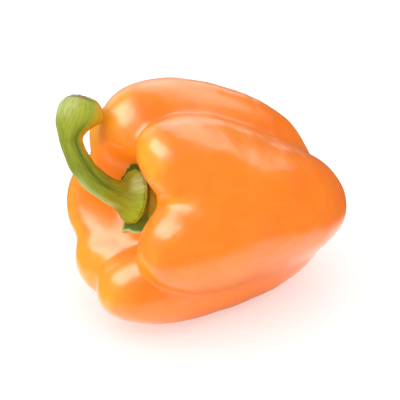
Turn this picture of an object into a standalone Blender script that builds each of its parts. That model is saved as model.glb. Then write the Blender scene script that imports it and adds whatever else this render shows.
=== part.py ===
"""An orange bell pepper lying on its side, as picked: the fruit, and the stem with its calyx.

Both pieces are worked out upright, in millimetres, about the point where the lobes lean together:
+Z is the fruit's own axis, towards the stem. An empty then lays them down and lifts them, so that
the fruit rests on two of its ridges, which are flat where they touch the surface.
"""
import math
from collections import namedtuple

import bmesh
import bpy
import numpy as np
from mathutils import Matrix, Vector

MM = 0.001
UPRIGHT = np.array([0.0, 0.0, 1.0])

# Lobes of the fruit, in millimetres and degrees. Each is an egg that leans towards the tip:
# azimuth of its ridge, distance of its middle out from the axis and height along the axis,
# half thickness outwards, half width across, reach up to the shoulder and down to the tip, lean.
Lobe = namedtuple("Lobe", "azimuth out high thick wide up down lean")
LOBES = {
    "upper_back": Lobe(57, 23.5, 9.5, 20.3, 13.8, 32.3, 49, 9),
    "upper_front": Lobe(30.5, 24, 10.5, 19.4, 15.5, 33, 44.5, 8),
    "upper_middle": Lobe(47.5, 16.5, 4, 22, 18.5, 30, 44, 8),
    "back_upper": Lobe(111, 16.5, 16, 23, 23, 31, 52, 9),
    "back_lower": Lobe(161.5, 21, 15, 17.7, 17.2, 30.4, 51, 10.5),
    "back_middle": Lobe(131.5, 14.5, 4, 22, 22, 28, 48, 8),
    "lower": Lobe(201, 22.6, 10.5, 15.6, 16.3, 34.8, 51, 12.5),
    "front_lower": Lobe(258, 17.5, 9.5, 15.5, 18.5, 30, 54, 13),
    "front_upper": Lobe(338, 19, 10.5, 15, 18, 30, 54, 15),
    "front_middle": Lobe(300, 12.5, 1.5, 21.5, 22, 30.5, 46.5, 8),
}
LOBE_POWER = 2.15            # 2 makes plain ellipsoids, more makes them boxier
CREASE_SHARPNESS = 18.5      # how crisply the lobes meet
SEARCH_NEAR = 2.0            # the skin is looked for between these distances from the middle
SEARCH_FAR = 90.0
SEARCH_STEPS = 24

# The pit round the stem: a flat floor pressed into the shoulders
PIT_TILT = 5.7
PIT_TOWARDS = 28.5
PIT_FLOOR = 30.4
PIT_RADIUS = 14.0
PIT_STEEPNESS = 7.0
PIT_ROUNDING = 1.0
SOFT_SIDE = 170.0            # azimuth of the side where the pit's wall is gentle
SOFT_STEEPNESS = 3.8
SOFT_RADIUS = 16.0
SOFT_START = 2.0             # distance from the pit's axis at which the soft side begins

# How the fruit lies, and the flats that it has where it touches the surface
AXIS_RISE = 14.5
FLAT_DEPTH = 0.5
CUTTER_SIZE = 0.2            # metres

# The calyx, on the floor of the pit
CALYX_GAP = 0.4
CALYX_THICKNESS = 1.1
CALYX_RADIUS = 11.0
CALYX_TEETH = 6
TOOTH_LENGTH = 2.2
TOOTH_POWER = 3
TOOTH_TURN = 0.5             # radians
NECK_RADIUS = 7.9

# The stalk, along its middle line from the floor of the pit
RIM_RADIUS = 9.1
RIM_HEIGHT = 2.4
RIM_THICKNESS = 0.7
FLARE_LENGTH = 3.1
FLARE_POWER = 1.5
RISE_LENGTH = 7.0            # over which the stalk evens out the rise of the pit's floor
STALK_RADIUS = 3.45
STALK_TAPER = 0.9            # by which the stalk's foot is thicker than its slim end
STALK_RIDGES = 5
RIDGE_DEPTH = 0.045          # share of the radius
RIDGE_TURN = -math.pi / 2    # turns a groove to the side square to the bend
KNOB_RADIUS = 7.8
KNOB_START = 32.6
KNOB_LENGTH = 9.5
KNOB_SHIFT = 3.7             # to the inner side of the bend
STEM_LENGTH = 48.2
END_ROUNDING = 5.0
END_TAPER = 0.3              # share of the radius that the rounding takes off
END_POWER = 2.2
CUT_EDGE = 0.8               # share of the cut's radius inside which it is dished
CUT_DISH = 0.6
BEND_START = 4.1
BEND_RADIUS = 23.6
BEND_END = 106.0             # heading of the knob, in degrees from the fruit's axis
BEND_EASING = 4.0
LINE_STEP = 0.1

# Facets
FRUIT_SEGMENTS = 72
FRUIT_RINGS = 46
RING_CROWDING = 0.4          # how much closer the rings are at the stem than on average
STEM_SEGMENTS = 40
CALYX_UNDER_RINGS = 9
CALYX_TOP_RINGS = 5
STALK_RINGS = 22
END_RINGS = 5


def unit_vectors():
    """The pit's axis, the way the stem bends, and the direction square to both."""
    towards = math.radians(PIT_TOWARDS)
    tilt = math.radians(PIT_TILT)
    level = np.array([math.cos(towards), math.sin(towards), 0.0])
    square = np.array([-math.sin(towards), math.cos(towards), 0.0])
    axis = math.sin(tilt) * level + math.cos(tilt) * UPRIGHT
    bend = math.cos(tilt) * level - math.sin(tilt) * UPRIGHT
    return axis, bend, square


def closeness(points, lobe):
    """1 on the lobe's own skin, less inside it and more outside."""
    azimuth = math.radians(lobe.azimuth)
    lean = math.radians(lobe.lean)
    outwards = np.array([math.cos(azimuth), math.sin(azimuth), 0.0])
    across = np.array([-math.sin(azimuth), math.cos(azimuth), 0.0])
    long_axis = math.cos(lean) * UPRIGHT + math.sin(lean) * outwards
    thick_axis = math.cos(lean) * outwards - math.sin(lean) * UPRIGHT
    offset = points - (lobe.out * outwards + lobe.high * UPRIGHT)
    along = offset @ long_axis
    reach = np.where(along > 0, lobe.up, lobe.down)
    total = np.abs(offset @ thick_axis / lobe.thick) ** LOBE_POWER
    total += np.abs(offset @ across / lobe.wide) ** LOBE_POWER
    total += np.abs(along / reach) ** LOBE_POWER
    return total ** (1 / LOBE_POWER)


def is_inside(points):
    """Whether each point is inside the smooth union of the lobes."""
    total = 0.0
    for lobe in LOBES.values():
        total = total + np.exp(CREASE_SHARPNESS * (1 - closeness(points, lobe)))
    return total > 1


def find_skin(start, direction):
    """Distance from each start point to the skin along its direction, by halving."""
    near = np.full(direction.shape[:-1], SEARCH_NEAR)
    far = np.full(direction.shape[:-1], SEARCH_FAR)
    for _ in range(SEARCH_STEPS):
        middle = (near + far) / 2
        inside = is_inside(start + direction * middle[..., None])
        near = np.where(inside, middle, near)
        far = np.where(inside, far, middle)
    return (near + far) / 2


def press_pit(points):
    """Sink the skin round the stem to the pit's floor, less and less away from its axis.

    The wall is steep on most sides and gentle towards the soft side.
    """
    axis, _, _ = unit_vectors()
    azimuth = math.radians(SOFT_SIDE)
    soft_side = np.array([math.cos(azimuth), math.sin(azimuth), 0.0])
    height = points @ axis
    sideways = points - height[..., None] * axis
    spread = np.linalg.norm(sideways, axis=-1)
    softness = np.clip(sideways @ soft_side / np.maximum(spread, SOFT_START), 0, 1)
    radius = PIT_RADIUS + (SOFT_RADIUS - PIT_RADIUS) * softness
    steepness = PIT_STEEPNESS + (SOFT_STEEPNESS - PIT_STEEPNESS) * softness
    share = np.exp(-(spread / radius) ** steepness) * (height > 0)
    above = PIT_ROUNDING * np.log1p(np.exp((height - PIT_FLOOR) / PIT_ROUNDING))
    return points - (above * share)[..., None] * axis


def pit_surface(spread, angle):
    """The finished skin at a distance from the pit's axis and an angle round it."""
    axis, bend, square = unit_vectors()
    around = np.cos(angle)[..., None] * bend + np.sin(angle)[..., None] * square
    sideways = spread[..., None] * around
    height = find_skin(sideways, np.broadcast_to(axis, sideways.shape))
    return press_pit(sideways + height[..., None] * axis)


def ease(values):
    """0 to 1 with a soft start and end."""
    values = np.clip(values, 0, 1)
    return values * values * (3 - 2 * values)


def stalk_radius(distance):
    """Radius of the stalk: a flared foot, a slim middle and a knob that rounds over to its cut."""
    foot = np.clip(distance - RIM_HEIGHT, 0, None) / FLARE_LENGTH
    radius = STALK_RADIUS + STALK_TAPER * np.clip(1 - distance / KNOB_START, 0, 1)
    radius += (RIM_RADIUS - radius) * np.exp(-foot ** FLARE_POWER)
    radius += (KNOB_RADIUS - STALK_RADIUS) * ease((distance - KNOB_START) / KNOB_LENGTH)
    end = np.clip((distance - STEM_LENGTH + END_ROUNDING) / END_ROUNDING, 0, 1)
    return radius * (1 - END_TAPER * end ** END_POWER)


def stalk_line(distance):
    """Middle line of the stalk, straight, then a bend with eased ends, then straight again.

    The knob's middle is shifted to the inner side of the bend. Also the direction to that side.
    """
    axis, _, square = unit_vectors()
    level = np.cross(square, UPRIGHT)
    fine = np.arange(0, STEM_LENGTH + LINE_STEP, LINE_STEP)
    turned = np.degrees(np.clip(fine - BEND_START, 0, None) / BEND_RADIUS)
    heading = np.radians(np.minimum(PIT_TILT + turned, BEND_END))
    half = round(BEND_EASING / LINE_STEP / 2)
    window = np.full(2 * half + 1, 1 / (2 * half + 1))
    heading = np.convolve(np.pad(heading, half, mode="edge"), window, "valid")
    sideways = np.cumsum(np.sin(heading)) * LINE_STEP
    upwards = np.cumsum(np.cos(heading)) * LINE_STEP
    at = np.interp(distance, fine, heading)[:, None]
    place = axis * (PIT_FLOOR + CALYX_GAP)
    place = place + np.interp(distance, fine, sideways)[:, None] * level
    place = place + np.interp(distance, fine, upwards)[:, None] * UPRIGHT
    inner_side = np.cos(at) * level - np.sin(at) * UPRIGHT
    shift = KNOB_SHIFT * ease((distance - KNOB_START) / KNOB_LENGTH)
    return place + shift[:, None] * inner_side, inner_side


def calyx_rings(angle):
    """The thin calyx: out along its underside on the pit's floor, then back over its top."""
    axis, _, _ = unit_vectors()
    tooth = np.clip(np.cos(CALYX_TEETH * angle + TOOTH_TURN), 0, 1) ** TOOTH_POWER
    edge = CALYX_RADIUS + TOOTH_LENGTH * tooth
    outward = np.linspace(0, 1, CALYX_UNDER_RINGS + 1)[1:, None]
    back = np.linspace(1, 0, CALYX_TOP_RINGS + 1)[1:, None]
    spread = np.concatenate([outward * edge, NECK_RADIUS + back * (edge - NECK_RADIUS)])
    lift = CALYX_GAP * (1 + (spread / CALYX_RADIUS) ** 4)
    lift[CALYX_UNDER_RINGS:] += CALYX_THICKNESS * (1 - back / 2)
    return pit_surface(spread, angle + 0 * spread) + lift[..., None] * axis


def stalk_rings(angle):
    """The stalk's rings, from its rim over the calyx to the dished cut at its end."""
    axis, _, square = unit_vectors()
    distance = np.concatenate([
        [RIM_HEIGHT - RIM_THICKNESS, RIM_HEIGHT],
        np.linspace(RIM_HEIGHT, STEM_LENGTH - END_ROUNDING, STALK_RINGS + 1)[1:],
        STEM_LENGTH - END_ROUNDING * (1 - np.linspace(0, 1, END_RINGS + 1)[1:]),
    ])
    place, inner_side = stalk_line(distance)
    ridges = RIDGE_DEPTH * np.cos(STALK_RIDGES * angle + RIDGE_TURN)
    radius = stalk_radius(distance)[:, None] * (1 + ridges)
    sideways = np.cos(angle)[:, None] * inner_side[:, None] + np.sin(angle)[:, None] * square
    rings = place[:, None] + radius[..., None] * sideways
    floor_rise = pit_surface(np.full(angle.shape, RIM_RADIUS), angle) @ axis - PIT_FLOOR
    lift = np.exp(-distance / RISE_LENGTH)[:, None] * np.clip(floor_rise, 0, None)
    rings = rings + lift[..., None] * axis
    middle = rings[-1].mean(0)
    inwards = np.cross(inner_side[-1], square)
    dished = middle + CUT_EDGE * (rings[-1] - middle) + CUT_DISH * inwards
    return np.concatenate([rings, dished[None]])


def loft(name, rings, first, last):
    """A closed mesh through rings of points, with one point at each end."""
    count, around = rings.shape[:2]
    points = np.concatenate([[first], rings.reshape(-1, 3), [last]]) * MM
    top = len(points) - 1
    faces = []
    for ring in range(count - 1):
        for step in range(around):
            here = 1 + ring * around + step
            after = 1 + ring * around + (step + 1) % around
            faces.append((here, after, after + around, here + around))
    for step in range(around):
        after = (step + 1) % around
        faces.append((0, 1 + after, 1 + step))
        faces.append((top, top - around + step, top - around + after))
    mesh = bpy.data.meshes.new(name)
    mesh.from_pydata(points.tolist(), [], faces)
    bm = bmesh.new()
    bm.from_mesh(mesh)
    bmesh.ops.triangulate(bm, faces=bm.faces)
    bmesh.ops.recalc_face_normals(bm, faces=bm.faces)
    bm.to_mesh(mesh)
    bm.free()
    return mesh


def crowd_to_stem(directions):
    """Slide the sphere's rings along their meridians, closer together round the stem."""
    polar = np.arccos(np.clip(directions[:, 2], -1, 1))
    moved = polar * (1 - RING_CROWDING * (1 - polar / math.pi))
    around = np.arctan2(directions[:, 1], directions[:, 0])
    level = np.sin(moved)
    return np.stack([level * np.cos(around), level * np.sin(around), np.cos(moved)], axis=1)


def make_fruit():
    """A sphere whose points are moved out to the skin of the lobes, then into the pit."""
    bm = bmesh.new()
    bmesh.ops.create_uvsphere(bm, u_segments=FRUIT_SEGMENTS, v_segments=FRUIT_RINGS, radius=1)
    directions = crowd_to_stem(np.array([vertex.co for vertex in bm.verts]))
    skin = press_pit(directions * find_skin(0.0, directions)[:, None])
    for vertex, place in zip(bm.verts, skin):
        vertex.co = Vector(place) * MM
    bmesh.ops.triangulate(bm, faces=bm.faces)
    mesh = bpy.data.meshes.new("fruit")
    bm.to_mesh(mesh)
    bm.free()
    return mesh


def make_stem():
    """Calyx, receptacle and stalk as one grown piece."""
    axis, _, _ = unit_vectors()
    angle = np.linspace(0, 2 * math.pi, STEM_SEGMENTS, endpoint=False)
    rings = np.concatenate([calyx_rings(angle), stalk_rings(angle)])
    foot = axis * (PIT_FLOOR + CALYX_GAP)
    return loft("stem", rings, foot, rings[-1].mean(0))


def make_material(name, colour, roughness):
    """A Principled material."""
    material = bpy.data.materials.new(name)
    material.use_nodes = True
    shader = material.node_tree.nodes["Principled BSDF"]
    shader.inputs["Base Color"].default_value = (*colour, 1)
    shader.inputs["Roughness"].default_value = roughness
    shader.inputs["Metallic"].default_value = 0
    return material


def add_object(mesh, material, collection, parent):
    """Put a smooth-shaded mesh into the scene under its parent."""
    mesh.shade_smooth()
    mesh.materials.append(material)
    piece = bpy.data.objects.new(mesh.name, mesh)
    collection.objects.link(piece)
    piece.parent = parent
    return piece


def lay_down(empty, fruit_mesh, stem_mesh):
    """Tip the axis over to -X, centre the footprint and sink the fruit by its flats' depth."""
    tip = Matrix.Rotation(math.radians(AXIS_RISE - 90), 4, "Y")
    turn = np.array(tip.to_3x3()).T
    fruit_points = np.array([vertex.co for vertex in fruit_mesh.vertices]) @ turn
    stem_points = np.array([vertex.co for vertex in stem_mesh.vertices]) @ turn
    both = np.concatenate([fruit_points, stem_points])
    middle = (both.min(0) + both.max(0)) / 2
    lift = -fruit_points[:, 2].min() - FLAT_DEPTH * MM
    empty.matrix_world = Matrix.Translation((-middle[0], -middle[1], lift)) @ tip


def cut_flats(fruit, cutters):
    """Take off what would lie below the surface, which leaves the small flats it rests on."""
    bm = bmesh.new()
    bmesh.ops.create_cube(bm, size=CUTTER_SIZE)
    mesh = bpy.data.meshes.new("below_surface")
    bm.to_mesh(mesh)
    bm.free()
    cutter = bpy.data.objects.new("below_surface", mesh)
    cutter.location = (0, 0, -CUTTER_SIZE / 2)
    cutter.hide_render = True
    cutter.display_type = "WIRE"
    cutters.objects.link(cutter)
    modifier = fruit.modifiers.new("flats", "BOOLEAN")
    modifier.operation = "DIFFERENCE"
    modifier.solver = "EXACT"
    modifier.object = cutter


def new_collection(name):
    """A collection in the scene."""
    collection = bpy.data.collections.new(name)
    bpy.context.scene.collection.children.link(collection)
    return collection


def main():
    """Clear the scene and build the pepper."""
    for old in list(bpy.data.objects):
        bpy.data.objects.remove(old)
    parts = new_collection("bell_pepper")
    cutters = new_collection("cutters")
    lying = bpy.data.objects.new("lying", None)
    parts.objects.link(lying)
    skin = make_material("pepper_skin", (1.0, 0.27, 0.02), 0.25)
    green = make_material("stem_green", (0.24, 0.36, 0.06), 0.55)
    fruit_mesh = make_fruit()
    stem_mesh = make_stem()
    lay_down(lying, fruit_mesh, stem_mesh)
    fruit = add_object(fruit_mesh, skin, parts, lying)
    add_object(stem_mesh, green, parts, lying)
    cut_flats(fruit, cutters)
    bpy.context.view_layer.update()


main()
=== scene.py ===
"""The looks of an orange bell pepper lying on its side.

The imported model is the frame. Its two solids, the fruit and the stem, are replaced by finer
surfaces from the same formulas, worked out with numpy, and both get procedural materials. The
property groups hold what a user would change, each operator builds one piece, and the last one
builds the stage. Lengths in the formulas are in millimetres, upright, about the point where the
lobes lean together: +Z is the fruit's own axis, towards the stem.
"""

import math
from collections import namedtuple
from functools import reduce

import bpy
import numpy as np
from bpy.props import FloatProperty, FloatVectorProperty, IntProperty, PointerProperty
from mathutils import Matrix, Vector


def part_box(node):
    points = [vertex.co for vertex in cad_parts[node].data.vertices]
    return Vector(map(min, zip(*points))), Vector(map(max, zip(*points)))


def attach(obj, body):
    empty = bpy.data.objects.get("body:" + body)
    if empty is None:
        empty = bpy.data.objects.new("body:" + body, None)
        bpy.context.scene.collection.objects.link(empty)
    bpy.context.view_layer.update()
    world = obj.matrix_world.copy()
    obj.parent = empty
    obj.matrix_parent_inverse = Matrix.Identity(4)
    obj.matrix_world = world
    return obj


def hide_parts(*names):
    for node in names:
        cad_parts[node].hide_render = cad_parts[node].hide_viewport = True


bl_info = {
    "name": "Bell Pepper Looks",
    "version": (1, 0, 0),
    "blender": (4, 5, 0),
    "location": "3D View > Sidebar > Pepper",
    "description": "Builds the fine skin and stem of a bell pepper, and a stage for it",
    "category": "Add Mesh",
}

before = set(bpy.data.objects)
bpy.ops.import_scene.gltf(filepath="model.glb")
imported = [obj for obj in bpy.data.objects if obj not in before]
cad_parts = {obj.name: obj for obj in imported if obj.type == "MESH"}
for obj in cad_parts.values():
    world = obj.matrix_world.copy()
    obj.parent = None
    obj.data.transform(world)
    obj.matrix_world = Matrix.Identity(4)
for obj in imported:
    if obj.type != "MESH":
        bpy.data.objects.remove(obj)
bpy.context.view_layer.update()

MM = 0.001
UPRIGHT = np.array([0.0, 0.0, 1.0])
WHITE = (1.0, 1.0, 1.0, 1.0)

# Lobes of the fruit, in millimetres and degrees. Each is an egg that leans out at the stem's end:
# azimuth of its ridge, distance of its middle out from the axis and height along the axis,
# half thickness outwards, half width across, reach up to the shoulder and down to the tip, lean.
Lobe = namedtuple("Lobe", "azimuth out high thick wide up down lean")
LOBES = {
    "upper_back": Lobe(57, 23.5, 9.5, 20.3, 13.8, 32.3, 49, 9),
    "upper_front": Lobe(30.5, 24, 10.5, 19.4, 15.5, 33, 44.5, 8),
    "upper_middle": Lobe(47.5, 16.5, 4, 22, 18.5, 30, 44, 8),
    "back_upper": Lobe(111, 16.5, 16, 23, 23, 31, 52, 9),
    "back_lower": Lobe(161.5, 21, 15, 17.7, 17.2, 30.4, 51, 10.5),
    "back_middle": Lobe(131.5, 14.5, 4, 22, 22, 28, 48, 8),
    "lower": Lobe(201, 22.6, 10.5, 15.6, 16.3, 34.8, 51, 12.5),
    "front_lower": Lobe(258, 17.5, 9.5, 15.5, 18.5, 30, 54, 13),
    "front_upper": Lobe(338, 19, 10.5, 15, 18, 30, 54, 15),
    "front_middle": Lobe(300, 12.5, 1.5, 21.5, 22, 30.5, 46.5, 8),
}
LOBE_POWER = 2.15            # 2 makes plain ellipsoids, more makes them boxier
CREASE_SHARPNESS = 18.5      # how crisply the lobes meet
SEARCH_NEAR = 2.0            # the skin is looked for between these distances from the middle
SEARCH_FAR = 90.0
SEARCH_STEPS = 20

# Pit round the stem and the rise of the fruit's axis, in millimetres and degrees
PIT_TILT = 5.7
PIT_TOWARDS = 28.5
PIT_FLOOR = 30.4
PIT_RADIUS = 14.0
PIT_STEEPNESS = 7.0
PIT_ROUNDING = 1.0
SOFT_SIDE = 170.0            # azimuth on whose side the pit's wall is gentle
SOFT_STEEPNESS = 3.8
SOFT_RADIUS = 16.0
SOFT_START = 2.0             # distance from the pit's axis at which the soft side begins
AXIS_RISE = 14.5

# Grids of directions: how much closer together the rings lie at the stem. The plain one is only
# for the fruit's extent
SKIN_CROWDING = 0.25
PLAIN_CROWDING = 0.4
PLAIN_SEGMENTS = 144
PLAIN_RINGS = 92

# Noise made of waves: their number, the spread of their lengths, and each use's height in
# millimetres (for the skin, in shares of its lumps), wavelength and seed
Waves = namedtuple("Waves", "height wavelength seed")
WAVE_COUNT = 28
WAVE_SPREAD = (0.67, 1.33)
SKIN_WAVES = (Waves(1.0, 13, 4), Waves(0.25, 4.5, 9))
EDGE_WAVES = (Waves(0.16, 3.0, 2), Waves(0.2, 7.0, 5))
FIBRE_WAVES = Waves(0.028, 0.75, 12)
STALK_WAVES = Waves(0.10, 9, 21)
CUT_WAVES = Waves(0.07, 1.6, 31)

# Blossom end: widths in degrees from the tip, and heights in millimetres
DIMPLE_WIDTH = 9.0
DIMPLE_DEPTH = 1.8
BUTTON_WIDTH = 3.4
BUTTON_HEIGHT = 0.6

# What the skin's material reads. Each pair of values is a span: where something starts and where
# it is full
# The creases' painted shade reads how far the skin lies below its surroundings
CREASE_SHADE_REACH = 26            # the surroundings reach the number of rings over this, each way
CREST_FACING = (0.42, 0.84)  # how much the skin faces the way the stem grows
CREST_SPREAD = (15, 24)      # millimetres from the pit's axis, as the pit's own span
# Painted light: the shoulders' paler colour is stronger on the upper side and weaker round the
# front lower lobe
CREST_MEAN = 0.88
CREST_LIGHT_SWING = 0.12           # more on the side of this azimuth, less on the other
CREST_LIGHT_SIDE = 30
CREST_GAP = 0.6              # less round this azimuth, over this width
CREST_GAP_SIDE = 268
CREST_GAP_WIDTH = 28
# The pit's painted glow, which brightens its shade: where it starts and is full, from the pit's
# axis
PIT_GLOW_SPAN = (21, 15)
GRAIN_STRETCH = 0.15

# Stalk along its middle line, in millimetres from the calyx, with its bend in degrees
BEND_START = 4.1
BEND_RADIUS = 23.6
BEND_END = 106.0
BEND_EASING = 4.0
LINE_STEP = 0.1
STALK_TAPER = 0.9            # by which the stalk's foot is thicker than its slim end
STALK_MIDDLE = 3.9           # radius at which the fibres and lumps have their full height
FLARE_LENGTH = 3.1
FLARE_POWER = 1.5
RISE_LENGTH = 7.0            # over which the stalk evens out the rise of the pit's floor
KNOB_SPAN = (32.6, 42.1)
KNOB_SHIFT = 3.7             # to the inner side of the bend
STEM_LENGTH = 48.2
END_ROUNDING = 5.0
END_TAPER = 0.3              # share of the radius that the rounding takes off
END_POWER = 2.2
STALK_ROWS = 176
END_ROWS = 15

# Neck under the rim, the rim's rounded lip, and the scallops that run a little way up the foot
NECK_RADIUS = 7.9
NECK_HEIGHTS = (1.55, 1.5, 1.5)
NECK_STEPS = (0.0, 0.4, 0.8)
RIM_HEIGHT = 2.4
RIM_DROP = 0.05              # keeps the lip's rings under the stalk's first one
RIM_LIP = 0.45               # radius of the lip's rounding
LIP_TURN = (-0.9, 1.3)       # radians
LIP_ROWS = 9
SCALLOPS = 13
SCALLOP_MEAN = 0.64          # mean height of an arch of height 1
SCALLOP_SPAN = (1.4, 2.2)
RIM_SCALLOP = 0.62
RIM_SCALLOP_LENGTH = 0.9
FOOT_SCALLOP = 0.07
FOOT_SCALLOP_LENGTH = 6.0

# Waves round the stem: height, number and phase. A sway's height is in radians, and it moves what
# it is used on to and fro
Round = namedtuple("Round", "height count phase")
SCALLOP_SWAY = (Round(0.10, 2, 1), Round(0.06, 3, 2))
GROOVE_SWAY = (Round(0.10, 1, 0.8), Round(0.06, 2, 0))
CURL_WAVES = (Round(0.25, 2, 1.0), Round(0.2, 5, 0))
FRONT = -math.pi / 2         # angle of the side that the photo shows

# Grooves along the stalk
GROOVES = 5
GROOVE_POWER = 1.8
GROOVE_START = (4, 14)
GROOVE_END = (32, 41)
GROOVE_LOSS = 0.75           # share of the depth that is lost at the knob
GROOVE_LEAST = 0.4           # share of the depth on the sides away from the front

# A straight tube in the stalk's place, on which noise runs lengthwise
TUBE_RADIUS = 4
TUBE_STRETCH = 12            # how many times shorter than the stalk it is
LUMP_WIDENING = 1.6          # how many times wider it is for the soft lumps
LUMP_SPAN = (3, 8)           # where the lumps start along the stalk

# Calyx, in millimetres
CALYX_GAP = 0.4
CALYX_LIFT = 0.08
CALYX_THICKNESS = 0.45
CALYX_SWELL = 1.0            # how much thicker it is at the neck
SWELL_POWER = 1.5
UNDER_ROWS = 19
EDGE_ROWS = 7
TOP_ROWS = 40
VEINS = 24
VEIN_HEIGHT = 0.10
VEIN_SWAY = 1.5
VEIN_SWAYS = 3
VEIN_POWER = 0.7
CURL_START = 9.5
CURL_LENGTH = 3
CURL_MEAN = 0.30
EDGE_RING = 10               # radius of the ring on which the edge's noise is read

# Teeth of the calyx: angle from the inner side of the stem's bend, half width and length
Tooth = namedtuple("Tooth", "angle wide long")
TOOTH_POWER = 0.8
TEETH = (
    Tooth(20, 26, 1.1),
    Tooth(88, 17, 0.9),
    Tooth(132, 18, -1.3),
    Tooth(157, 8, 1.1),
    Tooth(178, 26, 1.5),
    Tooth(254, 17, 5.2),
    Tooth(318, 22, 2.2),
)

# Cut end, from its edge at 1 to its middle at 0: rings, lip, sunken face and hollow
CUT_LIP_RINGS = (0.985, 0.965, 0.94, 0.91)
CUT_RINGS = (0.88, 0.03)
CUT_ROWS = 24
CUT_LIP_HEIGHT = 0.16
CUT_LIP_MIDDLE = 0.97
CUT_LIP_WIDTH = 0.03
CUT_DEPTH = 0.75
CUT_SPAN = (0.95, 0.8)
CUT_HOLLOW = 0.9
CUT_HOLLOW_SPAN = (0, 0.35)
CUT_ROUGH_SPAN = (0.95, 0.75)
CUT_FALL = 0.5               # how much lower the cut's value is at its edge than at its middle

# Scuffs on the skin: azimuth and angle from the stem's axis, in degrees, and size in millimetres
Scuff = namedtuple("Scuff", "azimuth polar size")
SCUFFS = (
    Scuff(6.0, 38.5, 0.45),
    Scuff(2.8, 40.3, 0.4),
    Scuff(328.0, 61.0, 0.35),
    Scuff(258.0, 51.1, 0.5),
    Scuff(263.6, 53.5, 0.55),
    Scuff(265.6, 56.2, 0.4),
)

# Inputs of the shared effects, for each pattern that uses them
SKIN_PATCHES = {"Scale": 22.0, "Detail": 2.0, "From": 0.34, "To": 0.7}
SKIN_STREAKS = {"Scale": 14.0, "Detail": 3.0, "From": 0.36, "To": 0.76}
SKIN_SHEEN = {"Scale": 160.0, "Detail": 3.0, "From": 0.3, "To": 0.7}
SKIN_SPECKS = {"Scale": 420.0, "Size": 0.16, "Share": 0.04}
STEM_FIBRES = {"Scale": 2.4, "Detail": 5.0, "From": 0.36, "To": 0.66}
STEM_PATCHES = {"Scale": 130.0, "Detail": 3.0, "From": 0.35, "To": 0.7}
STEM_MOTTLE = {"Scale": 5.5, "Detail": 4.0, "From": 0.42, "To": 0.7}
STEM_SPECKS = {"Scale": 900.0, "Size": 0.2, "Share": 0.1}
FLOOR_PATCHES = {"Scale": 6.0, "Detail": 4.0, "From": 0.3, "To": 0.7}
SCUFF_GRAIN = {"Scale": 2600.0, "Detail": 2.0}
SCUFF_RAGGED = 2.4           # how much the grain adds to the distance from a scuff's middle
SCUFF_SPAN = (1.9, 1.5)

# Colours laid over each other in turn: the mask of each, how much shows where the mask is full,
# and which of the settings' colours it is
Layer = namedtuple("Layer", "mask share colour")
SKIN_LAYERS = (
    Layer("patches", 0.7, "deep"),
    Layer("crest", 1.0, "shoulder"),
    # Painted shade: the deep colour darkens the creases
    Layer("hollow", 0.25, "deep"),
    Layer("streaks", 0.10, "shoulder"),
    Layer("specks", 0.16, "scar"),
)
STALK_LAYERS = (
    Layer("outer_side", 0.35, "knob"),
    # Olive on the inner side of the bend, which faces the fruit: partly the stalk's own colour,
    # partly painted orange light reflected from the fruit
    Layer("inner_side", 0.75, "olive"),
    Layer("foot", 1.0, "olive"),
    Layer("bulb", 1.0, "bulb"),
    Layer("knob", 1.0, "knob"),
    Layer("knob_outside", 0.85, "pale"),
    Layer("pale_line", 0.85, "pale"),
    Layer("bulb_top", 0.85, "pale"),
    Layer("fibres", 0.4, "knob"),
    Layer("patches", 0.25, "green"),
    Layer("mottle", 0.4, "groove"),
    Layer("cut_edge", 0.8, "dry"),
    # Painted orange light reflected from the fruit, with painted shade, on the knob's inner side
    Layer("reflected_orange_side", 0.85, "reflected_orange"),
    # Painted shade: the grooves are darkened to the groove colour
    Layer("grooves", 0.8, "groove"),
)
CALYX_LAYERS = (
    Layer("fibres", 0.3, "green"),
    Layer("browned", 0.7, "brown"),
    Layer("thin_edge", 0.8, "pale"),
)
CREST_SHARES = (0.75, 0.95)
CREASE_SHADE_SPAN = (0.15, 1.6)
BUTTON_SPAN = (0.35, 0.75)
SCUFF_SHARE = 0.7
STEM_SPECK_SHARE = 0.3

# Masks on the stem, each the product of its spans: a value, where it starts and where it is full.
# Along is 0 at the foot and 1 at the cut. Inner is 1 on the inner side of the bend and -1 on its
# outer side, and front is 1 on the side that the photo shows
Span = namedtuple("Span", "value start full")
STEM_MASKS = {
    "outer_side": (Span("inner", -0.25, -0.85),),
    "inner_side": (Span("inner", -0.1, 0.6),),
    "foot": (Span("along", 0.36, 0.20),),
    "bulb": (Span("along", 0.14, 0.07),),
    "knob": (Span("along", 0.68, 0.92),),
    "knob_outside": (Span("along", 0.8, 0.93), Span("inner", -0.3, -0.9)),
    "pale_line": (Span("inner", -0.8, -0.97), Span("along", 0.12, 0.22), Span("along", 0.55, 0.4)),
    "bulb_top": (Span("inner", -0.05, 0.35), Span("front", 0.3, 0.75), Span("along", 0.15, 0.09)),
    "cut_edge": (Span("along", 0.972, 0.994),),
    # The knob's inner side, which faces the fruit: where the painted reflected orange and shade go
    "reflected_orange_side": (Span("inner", 0.0, 0.6), Span("along", 0.5, 0.64)),
    "browned": (Span("front", 0.55, 0.9),),
    "thin_edge": (Span("edge", 0.72, 0.97), Span("inner", -0.5, -0.8)),
    "cut": (Span("cut", 0.3, 0.55),),
}

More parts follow.
